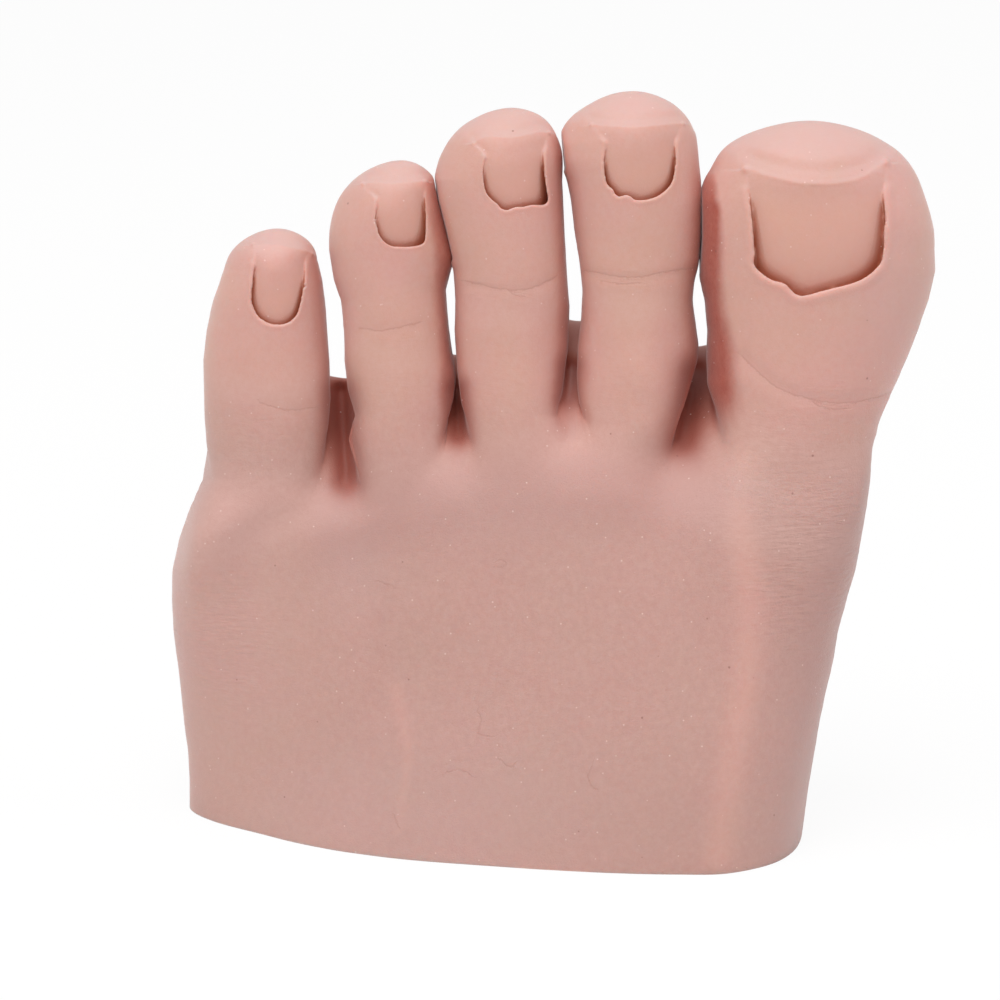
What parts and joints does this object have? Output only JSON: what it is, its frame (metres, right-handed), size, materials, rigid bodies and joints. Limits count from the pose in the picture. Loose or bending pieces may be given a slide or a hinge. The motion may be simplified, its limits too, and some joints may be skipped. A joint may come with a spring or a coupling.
{
  "type": "nail practice foot",
  "caption": "Silicone forefoot that stands on its flat cut face, with five toes that bend on an inner skeleton and open nail slots for practice nail tips.",
  "frame": {"origin": "on the plane of the flat cut face the foot stands on, below the middle toe", "axes": "+Z from the cut face to the toe tips, +Y from the top of the foot to the sole, +X towards the big toe"},
  "size_m": [0.1038, 0.0423, 0.0999],
  "materials": {
    "silicone": "matt translucent skin-coloured silicone",
    "nylon": "moulded, unpainted",
    "pin_steel": "plain ground pin"
  },
  "bodies": {
    "forefoot": {"foot_skin": "silicone", "metatarsal_core": "nylon"},
    "little_toe_middle": {"little_toe_middle_skin": "silicone", "little_toe_middle_bone": "nylon", "little_toe_knuckle_pin": "pin_steel"},
    "little_toe_tip": {"little_toe_tip_skin": "silicone", "little_toe_tip_bone": "nylon", "little_toe_tip_joint_pin": "pin_steel"},
    "fourth_toe_middle": {"fourth_toe_middle_skin": "silicone", "fourth_toe_middle_bone": "nylon", "fourth_toe_knuckle_pin": "pin_steel"},
    "fourth_toe_tip": {"fourth_toe_tip_skin": "silicone", "fourth_toe_tip_bone": "nylon", "fourth_toe_tip_joint_pin": "pin_steel"},
    "middle_toe_middle": {"middle_toe_middle_skin": "silicone", "middle_toe_middle_bone": "nylon", "middle_toe_knuckle_pin": "pin_steel"},
    "middle_toe_tip": {"middle_toe_tip_skin": "silicone", "middle_toe_tip_bone": "nylon", "middle_toe_tip_joint_pin": "pin_steel"},
    "second_toe_middle": {"second_toe_middle_skin": "silicone", "second_toe_middle_bone": "nylon", "second_toe_knuckle_pin": "pin_steel"},
    "second_toe_tip": {"second_toe_tip_skin": "silicone", "second_toe_tip_bone": "nylon", "second_toe_tip_joint_pin": "pin_steel"},
    "big_toe_tip": {"big_toe_tip_skin": "silicone", "big_toe_tip_bone": "nylon", "big_toe_knuckle_pin": "pin_steel"}
  },
  "joints": [
    {"name": "little_toe_knuckle", "type": "hinge", "parent": "forefoot", "child": "little_toe_middle", "pos_m": [-0.03087, 0.00865, 0.0559], "axis": [-1, 0, 0], "range_deg": [-10, 25]},
    {"name": "little_toe_tip_joint", "type": "hinge", "parent": "little_toe_middle", "child": "little_toe_tip", "pos_m": [-0.0308, 0.00964, 0.06606], "axis": [-1, 0, 0], "range_deg": [-10, 25]},
    {"name": "fourth_toe_knuckle", "type": "hinge", "parent": "forefoot", "child": "fourth_toe_middle", "pos_m": [-0.01311, 0.00751, 0.05963], "axis": [-1, 0, 0], "range_deg": [-10, 25]},
    {"name": "fourth_toe_tip_joint", "type": "hinge", "parent": "fourth_toe_middle", "child": "fourth_toe_tip", "pos_m": [-0.01398, 0.0085, 0.07049], "axis": [-1, 0, 0], "range_deg": [-10, 25]},
    {"name": "middle_toe_knuckle", "type": "hinge", "parent": "forefoot", "child": "middle_toe_middle", "pos_m": [0.00308, 0.00683, 0.06414], "axis": [-1, 0, 0], "range_deg": [-10, 25]},
    {"name": "middle_toe_tip_joint", "type": "hinge", "parent": "middle_toe_middle", "child": "middle_toe_tip", "pos_m": [0.00199, 0.00837, 0.07702], "axis": [-1, 0, 0], "range_deg": [-10, 25]},
    {"name": "second_toe_knuckle", "type": "hinge", "parent": "forefoot", "child": "second_toe_middle", "pos_m": [0.01922, 0.0062, 0.06476], "axis": [-1, 0, 0], "range_deg": [-10, 25]},
    {"name": "second_toe_tip_joint", "type": "hinge", "parent": "second_toe_middle", "child": "second_toe_tip", "pos_m": [0.01894, 0.00778, 0.07801], "axis": [-1, 0, 0], "range_deg": [-10, 25]},
    {"name": "big_toe_knuckle", "type": "hinge", "parent": "forefoot", "child": "big_toe_tip", "pos_m": [0.04204, 0.0052, 0.06404], "axis": [-1, 0, 0], "range_deg": [-10, 25]}
  ]
}
